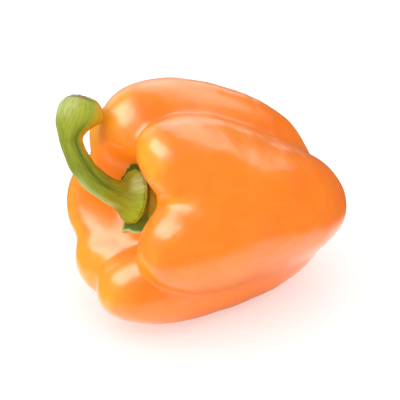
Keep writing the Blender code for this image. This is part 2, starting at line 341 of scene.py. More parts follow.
# Constant values of the shaders, roughness from and to, and fine relief as bumps
SKIN_SHADER = {
    "Subsurface Weight": 0.55,
    "Subsurface Radius": (1.0, 0.6, 0.08),
    "Subsurface Scale": 0.006,
    "Specular IOR Level": 0.62,
    "Coat Weight": 0.2,
    "Coat Roughness": 0.18,
}
STEM_SHADER = {
    "Specular IOR Level": 0.15,
    "Subsurface Weight": 0.12,
    "Subsurface Radius": (0.5, 1.0, 0.2),
    "Subsurface Scale": 0.0015,
}
FLOOR_SHADER = {"Emission Color": WHITE, "Roughness": 0.9, "Specular IOR Level": 0.2}
SKIN_ROUGHNESS = (0.30, 0.36)
BUTTON_ROUGHNESS = 0.8
STEM_ROUGHNESS = (0.5, 0.65)
RELIEF_HEIGHT = 0.0002       # metres
Relief = namedtuple("Relief", "scale detail strength")
SKIN_RELIEF = Relief(700.0, 2.0, 0.08)
STEM_RELIEF = Relief(6.0, 4.0, 0.55)

# Floor: its rings in metres, its darker patches, and what the gloss sees of it
FLOOR_RADII = (0.15, 0.4, 1.0, 2.0, 4.0)
FLOOR_POINTS = 96
FLOOR_DARKER = 0.985
FLOOR_UNLIT = 0.1
NEAR_GLOW_OUTSIDE = (0.1, 0.06)
NEAR_GLOW_INSIDE = (0.02, 0.055)
NEAR_GLOW_MIDDLE = 0.3       # share of the near glow under the fruit

# Camera: where the photo shows the middle of the lobes, its width in pixels, the sensor's in mm
MIDDLE_PIXEL = (218.4, 206.0)
PHOTO_WIDTH = 400
SENSOR = 36.0

# Lights: azimuth and elevation in degrees, distance from the fruit's middle and size in metres
Light = namedtuple("Light", "azimuth elevation distance size")
KEY = Light(-80, 34, 0.9, (1.5, 1.2))
CARDS = {
    "left_card": Light(-92, 54, 0.8, (0.8, 0.5)),
    "rear_card": Light(165, 20, 1.2, (1.5, 0.75)),
    "high_card": Light(126, 48, 1.2, (1.5, 0.75)),
}


class FruitSettings(bpy.types.PropertyGroup):
    """Sizes and colours of the fruit's skin."""
    segments: IntProperty(name="Segments", description="Points round the fruit", default=416)
    rings: IntProperty(name="Rings", description="Points from the stem to the tip", default=236)
    lumps: FloatProperty(
        name="Lumps", description="Height of the skin's soft unevenness",
        default=0.00008, unit="LENGTH")
    # Painted glow: emission in the pit round the stem, which brightens its shade
    glow: FloatProperty(
        name="Glow", description="Light that comes through the thin wall round the stem",
        default=0.24)
    skin: FloatVectorProperty(
        name="Skin", description="Colour of most of the skin",
        default=(1.0, 0.24, 0.004), subtype="COLOR")
    # Also laid into the creases as painted shade
    deep: FloatVectorProperty(
        name="Deep skin", description="Colour of the riper patches and the creases",
        default=(1.0, 0.165, 0.003), subtype="COLOR")
    shoulder: FloatVectorProperty(
        name="Shoulder", description="Colour of the paler skin on the shoulders",
        default=(1.0, 0.43, 0.022), subtype="COLOR")
    scar: FloatVectorProperty(
        name="Scar", description="Colour of the scuffs and of the scar at the tip",
        default=(0.30, 0.13, 0.03), subtype="COLOR")


class StemSettings(bpy.types.PropertyGroup):
    """Sizes and colours of the stem and its calyx."""
    segments: IntProperty(name="Segments", description="Points round the stem", default=300)
    stalk_radius: FloatProperty(
        name="Stalk radius", description="Radius of the stalk's slim middle",
        default=0.00375, unit="LENGTH")
    knob_radius: FloatProperty(
        name="Knob radius", description="Radius of the knob at the cut end",
        default=0.0079, unit="LENGTH")
    rim_radius: FloatProperty(
        name="Rim radius", description="Radius of the scalloped rim over the calyx",
        default=0.0091, unit="LENGTH")
    calyx_radius: FloatProperty(
        name="Calyx radius", description="Radius of the calyx between its teeth",
        default=0.0110, unit="LENGTH")
    groove_depth: FloatProperty(
        name="Groove depth", description="Depth of the grooves along the stalk",
        default=0.00055, unit="LENGTH")
    green: FloatVectorProperty(
        name="Green", description="Colour of the stalk",
        default=(0.165, 0.205, 0.01), subtype="COLOR")
    pale: FloatVectorProperty(
        name="Pale green", description="Colour of the knob's outer side and of thin edges",
        default=(0.60, 0.65, 0.25), subtype="COLOR")
    knob: FloatVectorProperty(
        name="Knob", description="Colour of most of the knob",
        default=(0.42, 0.45, 0.04), subtype="COLOR")
    bulb: FloatVectorProperty(
        name="Bulb", description="Colour of the swelling over the rim",
        default=(0.36, 0.41, 0.01), subtype="COLOR")
    olive: FloatVectorProperty(
        name="Olive", description="Colour of the stalk's foot",
        default=(0.31, 0.25, 0.004), subtype="COLOR")
    # Dark green of the mottle and specks, and painted shade in the grooves
    groove: FloatVectorProperty(
        name="Groove", description="Colour in the grooves",
        default=(0.11, 0.16, 0.008), subtype="COLOR")
    calyx: FloatVectorProperty(
        name="Calyx", description="Colour of the calyx",
        default=(0.11, 0.165, 0.01), subtype="COLOR")
    # Painted orange light reflected from the fruit, with painted shade, on the knob's inner side
    reflected_orange: FloatVectorProperty(
        name="Reflected orange", description="Colour of the knob's ripening inner side",
        default=(0.68, 0.29, 0.002), subtype="COLOR")
    brown: FloatVectorProperty(
        name="Brown", description="Colour of the calyx where it has browned",
        default=(0.45, 0.18, 0.002), subtype="COLOR")
    dry: FloatVectorProperty(
        name="Dry", description="Colour of the dried cut",
        default=(0.20, 0.12, 0.03), subtype="COLOR")


class StageSettings(bpy.types.PropertyGroup):
    """The camera's place, the floor and the lights."""
    azimuth: FloatProperty(
        name="Azimuth", description="Side that the camera looks from",
        default=math.radians(-26.0), subtype="ANGLE")
    elevation: FloatProperty(
        name="Elevation", description="Height of the camera over the horizon",
        default=math.radians(29.2), subtype="ANGLE")
    roll: FloatProperty(
        name="Roll", description="Turn of the camera about its own line of sight",
        default=math.radians(-0.87), subtype="ANGLE")
    distance: FloatProperty(
        name="Distance", description="From the camera to the middle of the lobes",
        default=0.65, unit="LENGTH")
    pixels_per_mm: FloatProperty(
        name="Scale", description="Pixels to a millimetre at the middle of the lobes", default=2.9)
    floor: FloatVectorProperty(
        name="Floor", description="Colour of the floor",
        default=(0.62, 0.62, 0.62), subtype="COLOR")
    glow: FloatProperty(
        name="Glow", description="Brightness that the floor has of its own, like a light table",
        default=0.42)
    near_glow: FloatProperty(
        name="Near glow", description="Brightness of the floor near the fruit in the gloss",
        default=1.4)
    sky: FloatProperty(
        name="Sky", description="Brightness of the room, as matt surfaces see it", default=1.12)
    key: FloatProperty(
        name="Key", description="Brightness of the soft light that shapes the fruit", default=0.5)
    left_card: FloatProperty(
        name="Left card", description="Brightness of the white card that the shoulders mirror",
        default=6.5)
    rear_card: FloatProperty(
        name="Rear card", description="Brightness of the low card that the far edges mirror",
        default=1.6)
    high_card: FloatProperty(
        name="High card", description="Brightness of the card that the upper lobes mirror",
        default=2.6)


def level_way(azimuth):
    """The level direction at an azimuth in degrees."""
    azimuth = math.radians(azimuth)
    return np.array([math.cos(azimuth), math.sin(azimuth), 0.0])


def unit_vectors():
    """The pit's axis, the way the stem bends, and the direction square to both."""
    tilt = math.radians(PIT_TILT)
    level = level_way(PIT_TOWARDS)
    axis = math.sin(tilt) * level + math.cos(tilt) * UPRIGHT
    bend = math.cos(tilt) * level - math.sin(tilt) * UPRIGHT
    return axis, bend, level_way(PIT_TOWARDS + 90)


def closeness(points, lobe):
    """1 on the lobe's own skin, less inside it and more outside.

    It is the power mean of the three distances from the lobe's middle, along its lean, across it
    and outwards, each as a share of the lobe's reach that way.
    """
    lean = math.radians(lobe.lean)
    outwards = level_way(lobe.azimuth)
    across = level_way(lobe.azimuth + 90)
    long_axis = math.cos(lean) * UPRIGHT + math.sin(lean) * outwards
    thick_axis = math.cos(lean) * outwards - math.sin(lean) * UPRIGHT
    offset = points - (lobe.out * outwards + lobe.high * UPRIGHT)
    along = offset @ long_axis
    reach = np.where(along > 0, lobe.up, lobe.down)
    total = np.abs(offset @ thick_axis / lobe.thick) ** LOBE_POWER
    total += np.abs(offset @ across / lobe.wide) ** LOBE_POWER
    total += np.abs(along / reach) ** LOBE_POWER
    return total ** (1 / LOBE_POWER)


def is_inside(points):
    """Whether each point is inside the smooth union of the lobes."""
    total = 0.0
    for lobe in LOBES.values():
        total = total + np.exp(CREASE_SHARPNESS * (1 - closeness(points, lobe)))
    return total > 1


def find_skin(start, direction):
    """Distance from each start point to the skin along its direction, by halving."""
    near = np.full(direction.shape[:-1], SEARCH_NEAR)
    far = np.full(direction.shape[:-1], SEARCH_FAR)
    for _ in range(SEARCH_STEPS):
        middle = (near + far) / 2
        inside = is_inside(start + direction * middle[..., None])
        near = np.where(inside, middle, near)
        far = np.where(inside, far, middle)
    return (near + far) / 2


def press_pit(points):
    """Sink the skin round the stem to the pit's floor, less and less away from its axis.

    The wall is steep on most sides and gentle towards the soft side.
    """
    axis, _, _ = unit_vectors()
    height = points @ axis
    sideways = points - height[..., None] * axis
    spread = np.linalg.norm(sideways, axis=-1)
    softness = np.clip(sideways @ level_way(SOFT_SIDE) / np.maximum(spread, SOFT_START), 0, 1)
    radius = PIT_RADIUS + (SOFT_RADIUS - PIT_RADIUS) * softness
    steepness = PIT_STEEPNESS + (SOFT_STEEPNESS - PIT_STEEPNESS) * softness
    share = np.exp(-(spread / radius) ** steepness) * (height > 0)
    above = PIT_ROUNDING * np.log1p(np.exp((height - PIT_FLOOR) / PIT_ROUNDING))
    return points - (above * share)[..., None] * axis


def pit_surface(spread, angle):
    """The finished skin at a distance from the pit's axis and an angle round it."""
    axis, bend, square = unit_vectors()
    around = np.cos(angle)[..., None] * bend + np.sin(angle)[..., None] * square
    sideways = spread[..., None] * around
    height = find_skin(sideways, np.broadcast_to(axis, sideways.shape))
    return press_pit(sideways + height[..., None] * axis)


def ease(values, start, full):
    """0 up to the start and 1 past the full, with a soft change from one to the other."""
    share = np.clip((values - start) / (full - start), 0, 1)
    return share * share * (3 - 2 * share)


def bump(values, middle, width):
    """1 at the middle, falling off to either side like a bell."""
    return np.exp(-((values - middle) / width) ** 2)


def soft_waves(points, waves):
    """Even noise about 0: the sum of many plane waves in seeded random directions.

    Each wave is the cosine of the point's distance along its direction, over a wavelength that
    differs by up to a third from the given one. The sum is brought to a mean square of 1 and then
    to the given height.
    """
    draw = np.random.default_rng(waves.seed)
    directions = draw.normal(size=(WAVE_COUNT, 3))
    directions /= np.linalg.norm(directions, axis=1, keepdims=True)
    steps = 2 * math.pi / (waves.wavelength * draw.uniform(*WAVE_SPREAD, WAVE_COUNT))
    phases = draw.uniform(0, 2 * math.pi, WAVE_COUNT)
    total = np.cos(points @ (directions * steps[:, None]).T + phases).sum(-1)
    return waves.height * total * math.sqrt(2 / WAVE_COUNT)


def tip_over():
    """The turn that lays the upright fruit down, with its stem towards -X."""
    return np.array(Matrix.Rotation(math.radians(AXIS_RISE - 90), 3, "Y"))


def directions_on_ball(segments, rings, crowding):
    """Unit directions on a grid of rings from the stem to the tip, with no points at the poles.

    The rings lie closer together at the stem, by the given share, and further apart at the tip.
    """
    share = (np.arange(rings) + 0.5) / rings
    polar = math.pi * share * (1 - crowding * (1 - share))
    angle = np.linspace(0, 2 * math.pi, segments, endpoint=False)
    polar, angle = np.meshgrid(polar, angle, indexing="ij")
    level = np.sin(polar)
    return np.stack([level * np.cos(angle), level * np.sin(angle), np.cos(polar)], axis=-1)


def lobes_middle():
    """Where the middle of the lobes lies in the frame, in millimetres.

    The fruit's skin is tipped over, and its extent is set against the box of the CAD fruit.
    """
    grid = directions_on_ball(PLAIN_SEGMENTS, PLAIN_RINGS, PLAIN_CROWDING)
    skin = press_pit(grid * find_skin(0.0, grid)[..., None]).reshape(-1, 3) @ tip_over().T
    low, high = (np.array(corner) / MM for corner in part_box("fruit"))
    sides = ((low - skin.min(0)) + (high - skin.max(0))) / 2
    return np.array([sides[0], sides[1], high[2] - skin[:, 2].max()])


def lay_down(points):
    """Upright millimetres to the frame's metres, with nothing below the surface."""
    placed = (points @ tip_over().T + MIDDLE) * MM
    placed[..., 2] = np.maximum(placed[..., 2], 0)
    return placed


def ring_mesh(name, rings, values):
    """A closed mesh through upright rings of points, laid down in the frame.

    Rings run from one end to the other, each anticlockwise seen from the first end, and the mean
    of each end ring closes that end. The values are grids that become attributes of the points.
    """
    count, around = rings.shape[:2]
    ends = rings[[0, -1]].mean(1)
    points = lay_down(np.concatenate([ends[:1], rings.reshape(-1, 3), ends[1:]]))
    ring, step = np.meshgrid(np.arange(count - 1), np.arange(around), indexing="ij")
    here = 1 + ring * around + step
    after = 1 + ring * around + (step + 1) % around
    quads = np.stack([here, here + around, after + around, after], axis=-1).reshape(-1, 4)
    start = np.arange(around)
    end = (start + 1) % around
    top = np.stack([0 * start, 1 + start, 1 + end], axis=-1)
    low = 1 + (count - 1) * around
    bottom = np.stack([0 * start + len(points) - 1, low + end, low + start], axis=-1)
    mesh = bpy.data.meshes.new(name)
    mesh.from_pydata(points.tolist(), [], quads.tolist() + top.tolist() + bottom.tolist())
    for label, grid in values.items():
        add_attribute(mesh, label, grid)
    mesh.shade_smooth()
    return mesh


def add_attribute(mesh, label, grid):
    """Store a grid of numbers or vectors on the points, with the end rings' means at the ends."""
    vectors = grid.ndim == 3
    rows = grid.reshape(-1, 3) if vectors else grid.reshape(-1, 1)
    rows = np.concatenate([rows[:grid.shape[1]].mean(0)[None], rows,
                           rows[-grid.shape[1]:].mean(0)[None]])
    kind, field = ("FLOAT_VECTOR", "vector") if vectors else ("FLOAT", "value")
    attribute = mesh.attributes.new(label, kind, "POINT")
    attribute.data.foreach_set(field, rows.astype(np.float32).ravel())


def add_piece(mesh, material, node):
    """Put a finished mesh into the scene in place of a CAD node."""
    mesh.materials.append(material)
    piece = bpy.data.objects.new(mesh.name, mesh)
    bpy.context.scene.collection.objects.link(piece)
    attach(piece, "root")
    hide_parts(node)


def average_nearby(grid, reach):
    """Mean over a square of neighbours on a grid that closes on itself sideways."""
    wide = np.pad(grid, ((reach, reach), (0, 0)), mode="edge")
    wide = np.pad(wide, ((0, 0), (reach, reach)), mode="wrap")
    total = np.pad(wide.cumsum(0).cumsum(1), ((1, 0), (1, 0)))
    side = 2 * reach + 1
    square = total[side:, side:] - total[:-side, side:] - total[side:, :-side]
    return (square + total[:-side, :-side]) / side ** 2


def fruit_surface(settings):
    """The skin: distance along each direction from the middle of the lobes, then the pit.

    Soft waves of two lengths are added to that distance, and the tip gets a shallow dimple with
    a small button in it. Also the values that the material reads.
    """
    lumps = settings.lumps / MM
    grid = directions_on_ball(settings.segments, settings.rings, SKIN_CROWDING)
    reach = find_skin(0.0, grid)
    plain = grid * reach[..., None]
    for waves in SKIN_WAVES:
        reach = reach + lumps * soft_waves(plain, waves)
    from_tip = np.degrees(np.arccos(np.clip(-grid[..., 2], -1, 1)))
    button = bump(from_tip, 0, BUTTON_WIDTH)
    reach = reach - DIMPLE_DEPTH * bump(from_tip, 0, DIMPLE_WIDTH) + BUTTON_HEIGHT * button
    skin = press_pit(grid * reach[..., None])
    return skin, {"button": button, **skin_values(grid, skin)}


def skin_values(grid, skin):
    """What the skin's material reads, for each point.

    Hollow is how far it lies below the mean of its surroundings, for painted shade in the creases.
    Crest is how near it is to the shoulders' crest, from the way it faces, its distance from the
    pit's axis and its azimuth, by which painted light makes it stronger on the upper side. Pit is 1
    in the pit, where the painted glow goes, and grain is the direction, drawn out along the fruit.
    """
    distance = np.linalg.norm(skin, axis=-1)
    hollow = average_nearby(distance, len(skin) // CREASE_SHADE_REACH) - distance
    axis, _, _ = unit_vectors()
    height = skin @ axis
    spread = np.linalg.norm(skin - height[..., None] * axis, axis=-1)
    down = np.gradient(skin, axis=0)
    aside = np.roll(skin, -1, 1) - np.roll(skin, 1, 1)
    outwards = np.cross(down, aside)
    facing = outwards @ axis / np.linalg.norm(outwards, axis=-1)
    azimuth = np.degrees(np.arctan2(skin[..., 1], skin[..., 0])) % 360
    # Painted light: more of the shoulders' paler colour on the upper side, less round the front
    # lower lobe
    level = CREST_MEAN + CREST_LIGHT_SWING * np.cos(np.radians(azimuth - CREST_LIGHT_SIDE))
    level -= CREST_GAP * bump(azimuth, CREST_GAP_SIDE, CREST_GAP_WIDTH)
    crest = ease(facing, *CREST_FACING) * ease(spread, *CREST_SPREAD) * level
    pit = ease(spread, *PIT_GLOW_SPAN) * (height > 0)
    grain = grid * np.array([1, 1, GRAIN_STRETCH])
    return {"hollow": hollow, "crest": crest, "pit": pit, "grain": grain}


def stalk_radius(distance, settings):
    """Radius along the stalk: a flared foot, a slim middle and a knob that narrows to its cut."""
    slim = settings.stalk_radius / MM
    foot = np.clip(distance - RIM_HEIGHT, 0, None) / FLARE_LENGTH
    radius = slim + STALK_TAPER * np.clip(1 - distance / KNOB_SPAN[0], 0, 1)
    radius += (settings.rim_radius / MM - radius) * np.exp(-foot ** FLARE_POWER)
    radius += (settings.knob_radius / MM - slim) * ease(distance, *KNOB_SPAN)
    end = np.clip((distance - STEM_LENGTH + END_ROUNDING) / END_ROUNDING, 0, 1)
    return radius * (1 - END_TAPER * end ** END_POWER)


def stalk_line(distance):
    """Middle line of the stalk: straight, then a bend with eased ends, then straight again.

    The heading is summed up in small steps. Also the direction to the bend's inner side.
    """
    axis, _, square = unit_vectors()
    level = np.cross(square, UPRIGHT)
    fine = np.arange(0, STEM_LENGTH + LINE_STEP, LINE_STEP)
    turned = np.degrees(np.clip(fine - BEND_START, 0, None) / BEND_RADIUS)
    heading = np.radians(np.minimum(PIT_TILT + turned, BEND_END))
    half = round(BEND_EASING / LINE_STEP / 2)
    window = np.full(2 * half + 1, 1 / (2 * half + 1))
    heading = np.convolve(np.pad(heading, half, mode="edge"), window, "valid")
    sideways = np.cumsum(np.sin(heading)) * LINE_STEP
    upwards = np.cumsum(np.cos(heading)) * LINE_STEP
    at = np.interp(distance, fine, heading)[:, None]
    place = axis * (PIT_FLOOR + CALYX_GAP)
    place = place + np.interp(distance, fine, sideways)[:, None] * level
    place = place + np.interp(distance, fine, upwards)[:, None] * UPRIGHT
    inner_side = np.cos(at) * level - np.sin(at) * UPRIGHT
    shift = KNOB_SHIFT * ease(distance, *KNOB_SPAN)
    return place + shift[:, None] * inner_side, inner_side


def calyx_edge(angle, settings):
    """How far out the calyx reaches: its radius, its teeth and a small jagged unevenness."""
    edge = np.full(angle.shape, settings.calyx_radius / MM)
    for tooth in TEETH:
        away = np.abs((np.degrees(angle) - tooth.angle + 180) % 360 - 180) / tooth.wide
        edge += tooth.long * np.clip(1 - away, 0, 1) ** TOOTH_POWER
    ring = EDGE_RING * np.stack([np.cos(angle), np.sin(angle), 0 * angle], axis=-1)
    return edge + sum(soft_waves(ring, waves) for waves in EDGE_WAVES)


def calyx_rows(angle, settings):
    """The calyx: out along its underside, round its thin edge, and back over its top.

    It follows the floor of the pit, and its edge curls up. Radial veins stand on its top. Also
    how far each row is out towards the edge, from 0 to 1.
    """
    axis, _, _ = unit_vectors()
    edge = calyx_edge(angle, settings)
    under = np.linspace(0, 1, UNDER_ROWS)[1:, None]
    turn = np.linspace(-math.pi / 2, math.pi / 2, EDGE_ROWS)[1:-1, None]
    over = np.linspace(1, 0, TOP_ROWS)[:, None]
    half = CALYX_THICKNESS / 2
    spread = np.concatenate([
        under * (edge - half),
        edge - half + half * np.cos(turn),
        NECK_RADIUS + over * (edge - half - NECK_RADIUS),
    ])
    lift = np.concatenate([
        0 * under * edge,
        half + half * np.sin(turn) + 0 * edge,
        CALYX_THICKNESS + CALYX_SWELL * (1 - over) ** SWELL_POWER + calyx_veins(angle, over),
    ])
    curl = CURL_MEAN + sum(wave.height * np.cos(wave.count * angle + wave.phase)
                           for wave in CURL_WAVES)
    lift += CALYX_LIFT + curl * np.clip((spread - CURL_START) / CURL_LENGTH, 0, None) ** 2
    share = np.concatenate([under, np.ones((len(turn), 1)), over])
    return pit_surface(spread, angle + 0 * spread) + lift[..., None] * axis, share + 0 * spread


def calyx_veins(angle, over):
    """Height of the veins: a swaying wave round the calyx, which sinks at the neck and the edge."""
    around = np.cos(VEINS * angle + VEIN_SWAY * np.sin(VEIN_SWAYS * angle))
    return VEIN_HEIGHT * around * np.sin(math.pi * over) ** VEIN_POWER


def swayed(angle, sways):
    """The angle moved to and fro: a sum of sines round the stem is added to it."""
    return angle + sum(sway.height * np.sin(sway.count * angle + sway.phase) for sway in sways)


def groove_profile(angle):
    """1 in the grooves along the stalk, one of which faces front, and 0 on the ridges between."""
    away = swayed(angle, GROOVE_SWAY) - swayed(FRONT, GROOVE_SWAY)
    return (1 - np.abs(np.sin(GROOVES / 2 * away))) ** GROOVE_POWER


def stalk_distances():
    """Distance of each ring along the stalk: the neck, the rim's lip, the stalk and its end."""
    turn = np.linspace(*LIP_TURN, LIP_ROWS)
    return np.concatenate([
        NECK_HEIGHTS,
        RIM_HEIGHT - RIM_LIP * (1 - np.sin(turn)) - RIM_DROP,
        np.linspace(RIM_HEIGHT, STEM_LENGTH - END_ROUNDING, STALK_ROWS)[1:],
        STEM_LENGTH - END_ROUNDING * (1 - np.linspace(0, 1, END_ROWS)[1:]),
    ])


def smooth_radius(distance, settings):
    """Radius of each ring before it is shaped: the neck's steps, the lip's curve, the stalk's."""
    turn = np.linspace(*LIP_TURN, LIP_ROWS)
    neck = len(NECK_STEPS)
    radius = stalk_radius(distance, settings)
    radius[:neck] = NECK_RADIUS + np.array(NECK_STEPS)
    radius[neck:neck + LIP_ROWS] -= RIM_LIP * (1 - np.cos(turn))
    return radius[:, None]


def scallops(angle, along):
    """Scallops of the rim: a swaying row of arches that sink along the foot, about a mean of 0."""
    arches = np.abs(np.cos(SCALLOPS / 2 * swayed(angle, SCALLOP_SWAY))) - SCALLOP_MEAN
    above = np.clip(along - RIM_HEIGHT, 0, None)
    height = RIM_SCALLOP * np.exp(-above / RIM_SCALLOP_LENGTH)
    height = height + FOOT_SCALLOP * np.exp(-along / FOOT_SCALLOP_LENGTH)
    return arches * height * ease(along, *SCALLOP_SPAN)


def stalk_grooves(angle, along):
    """The grooves' share of their depth: deepest in the slim middle, and towards the front."""
    fade = ease(along, *GROOVE_START) * (1 - GROOVE_LOSS * ease(along, *GROOVE_END))
    front = np.maximum(-np.sin(angle), 0) ** 2
    return fade * groove_profile(angle) * (GROOVE_LEAST + (1 - GROOVE_LEAST) * front)


def stalk_rows(angle, settings):
    """The stalk: neck, scalloped rim, flared foot, bend, knob and its rounded end.

    Each ring is a circle square to the middle line, pressed in by grooves and roughened by fine
    lengthwise fibres and soft lumps. Also the values that the material reads, and the direction
    to the inner side of the bend at the cut.
    """
    axis, _, square = unit_vectors()
    distance = stalk_distances()
    along = distance[:, None]
    across = np.stack([np.cos(angle), np.sin(angle)], axis=-1) + 0 * along[..., None]
    place, inner_side = stalk_line(distance)
    groove = stalk_grooves(angle, along)
    radius = smooth_radius(distance, settings) + scallops(angle, along)
    radius = radius - settings.groove_depth / MM * groove
    tube = np.dstack([TUBE_RADIUS * across, along / TUBE_STRETCH + 0 * angle])
    wide_tube = np.dstack([LUMP_WIDENING * TUBE_RADIUS * across, along + 0 * angle])
    rough = soft_waves(tube, FIBRE_WAVES)
    rough = rough + soft_waves(wide_tube, STALK_WAVES) * ease(along, *LUMP_SPAN)
    radius = radius + rough * radius / STALK_MIDDLE
    sideways = across[..., :1] * inner_side[:, None] + across[..., 1:] * square
    rings = place[:, None] + radius[..., None] * sideways
    rise = pit_surface(np.full(angle.shape, settings.rim_radius / MM), angle) @ axis - PIT_FLOOR
    lift = np.exp(-along / RISE_LENGTH) * np.clip(rise, 0, None)
    rings = rings + lift[..., None] * axis
    round_stem = np.dstack([across * np.array([1, -1]), along / STEM_LENGTH + 0 * angle])
    return rings, {"groove": groove, "tube": tube, "round": round_stem}, inner_side[-1]


def cut_rows(last, inner_side):
    """The cut: a thin raised lip, a sunken face and a soft hollow at its middle.

    Each ring is the last ring of the stalk, drawn in towards its middle and moved along the
    stalk by a height that depends on how far in it is. Also that share of the way out.
    """
    _, _, square = unit_vectors()
    outwards = -np.cross(inner_side, square)
    middle = last.mean(0)
    share = np.concatenate([CUT_LIP_RINGS, np.linspace(*CUT_RINGS, CUT_ROWS)])[:, None]
    height = CUT_LIP_HEIGHT * bump(share, CUT_LIP_MIDDLE, CUT_LIP_WIDTH)
    height -= CUT_DEPTH * ease(share, *CUT_SPAN)
    height -= CUT_HOLLOW * (1 - ease(share, *CUT_HOLLOW_SPAN))
    rings = middle + share[..., None] * (last - middle)
    height = height + soft_waves(rings, CUT_WAVES) * ease(share, *CUT_ROUGH_SPAN)
    return rings + height[..., None] * outwards, share


def stem_surface(settings):
    """Calyx, stalk and cut as one grown surface, from the cut down to the calyx's underside.

    Also the values that the material reads: those of the stalk, carried on over the calyx and the
    cut, and how far each point belongs to the calyx, its edge and the cut.
    """
    angle = np.linspace(0, 2 * math.pi, settings.segments, endpoint=False)
    calyx, share = calyx_rows(angle, settings)
    stalk, values, inner_side = stalk_rows(angle, settings)
    cut, inwards = cut_rows(stalk[-1], inner_side)
    rings = np.concatenate([calyx, stalk, cut])
    level = np.array([1, 1, 0])
    flat_tube = values["tube"][0] * level * (1 + share[..., None])
    cut_tube = values["tube"][-1] * inwards[..., None]
    on_calyx = 0 * share
    on_stalk = 0 * values["groove"]
    on_cut = 0 * cut[..., 0]
    grids = {
        "groove": np.concatenate([on_calyx, values["groove"], on_cut]),
        "round": np.concatenate([values["round"][0] * level + 0 * calyx, values["round"],
                                 values["round"][-1] + 0 * cut]),
        "tube": np.concatenate([flat_tube, values["tube"], cut_tube]),
        "calyx": np.concatenate([on_calyx + 1, on_stalk, on_cut]),
        "edge": np.concatenate([share, on_stalk, on_cut]),
        "cut": np.concatenate([on_calyx, on_stalk, on_cut + 1 - CUT_FALL * inwards]),
    }
    return rings[::-1], {label: grid[::-1] for label, grid in grids.items()}


class Graph:
    """Short calls that build a node tree."""

    def __init__(self, tree):
        self.tree = tree

    def add(self, kind, values=None, **settings):
        """A node with its settings, and with numbers or other nodes' outputs on its inputs."""
        node = self.tree.nodes.new(kind)
        for name, value in settings.items():
            setattr(node, name, value)
        for name, value in (values or {}).items():
            self.put(node.inputs[name], value)
        return node

    def put(self, socket, value):
        """Set an input to a number, or link another node's output to it."""
        if isinstance(value, bpy.types.NodeSocket):
            self.tree.links.new(value, socket)
        elif hasattr(value, "__len__") and len(value) == 3 and socket.type == "RGBA":
            socket.default_value = (*value, 1)
        else:
            socket.default_value = value

    def mix(self, share, one, other):
        """From one colour to the other by a share."""
        node = self.add("ShaderNodeMix", data_type="RGBA")
        self.put(node.inputs[0], share)
        self.put(node.inputs[6], one)
        self.put(node.inputs[7], other)
        return node.outputs[2]

    def math(self, operation, one, other):
        """Arithmetic on two numbers, kept between 0 and 1."""
        node = self.add("ShaderNodeMath", operation=operation, use_clamp=True)
        self.put(node.inputs[0], one)
        self.put(node.inputs[1], other)
        return node.outputs[0]

    def span(self, value, low, high, start=0.0, end=1.0):
        """Where a value lies between two others, eased, as a number from start to end."""
        node = self.add("ShaderNodeMapRange", {
            "Value": value, "From Min": low, "From Max": high, "To Min": start, "To Max": end,
        }, interpolation_type="SMOOTHSTEP")
        return node.outputs["Result"]

    def attribute(self, label, output="Fac"):
        """A value stored on the mesh."""
        return self.add("ShaderNodeAttribute", attribute_name=label).outputs[output]

    def mask(self, tree, place, values):
        """The mask that a shared effect gives at a place, with the values of its other inputs."""
        node = self.add("ShaderNodeGroup", node_tree=tree)
        for name, value in {"Place": place, **values}.items():
            self.put(node.inputs[name], value)
        return node.outputs["Mask"]

    def product(self, spans, values):
        """One mask that is the product of eased spans of the given values."""
        masks = [self.span(values[span.value], span.start, span.full) for span in spans]
        return reduce(lambda one, other: self.math("MULTIPLY", one, other), masks)

    def layers(self, colour, layers, masks, settings):
        """A colour with others laid over it in turn, each by its mask and its share."""
        for layer in layers:
            share = self.math("MULTIPLY", masks[layer.mask], layer.share)
            colour = self.mix(share, colour, getattr(settings, layer.colour))
        return colour

    def switch(self, share, one, other):
        """From one number to the other by a share."""
        node = self.add("ShaderNodeMix", data_type="FLOAT")
        self.put(node.inputs[0], share)
        self.put(node.inputs[2], one)
        self.put(node.inputs[3], other)
        return node.outputs[0]

    def relief(self, place, look):
        """Fine unevenness for the shader: noise at a place as the height of a bump."""
        noise = self.add("ShaderNodeTexNoise", {
            "Vector": place, "Scale": look.scale, "Detail": look.detail})
        bumpy = self.add("ShaderNodeBump", {
            "Strength": look.strength, "Distance": RELIEF_HEIGHT, "Height": noise.outputs[0]})
        return bumpy.outputs["Normal"]


def new_group(label, inputs, outputs):
    """An empty shader node group with its sockets, and its graph and end nodes."""
    tree = bpy.data.node_groups.new(label, "ShaderNodeTree")
    for name, kind, value in inputs:
        socket = tree.interface.new_socket(name, in_out="INPUT", socket_type=kind)
        if value is not None:
            socket.default_value = value
    for name, kind in outputs:
        tree.interface.new_socket(name, in_out="OUTPUT", socket_type=kind)
    graph = Graph(tree)
    return graph, graph.add("NodeGroupInput"), graph.add("NodeGroupOutput")


def patches_group():
    """Soft patches: noise at a place and scale, eased between two levels to a mask."""
    graph, given, result = new_group("Patches", [
        ("Place", "NodeSocketVector", None), ("Scale", "NodeSocketFloat", 5.0),
        ("Detail", "NodeSocketFloat", 2.0), ("From", "NodeSocketFloat", 0.4),
        ("To", "NodeSocketFloat", 0.6),
    ], [("Mask", "NodeSocketFloat")])
    noise = graph.add("ShaderNodeTexNoise", {
        "Vector": given.outputs["Place"], "Scale": given.outputs["Scale"],
        "Detail": given.outputs["Detail"],
    })
    mask = graph.span(noise.outputs[0], given.outputs["From"], given.outputs["To"])
    graph.put(result.inputs["Mask"], mask)
    return graph.tree


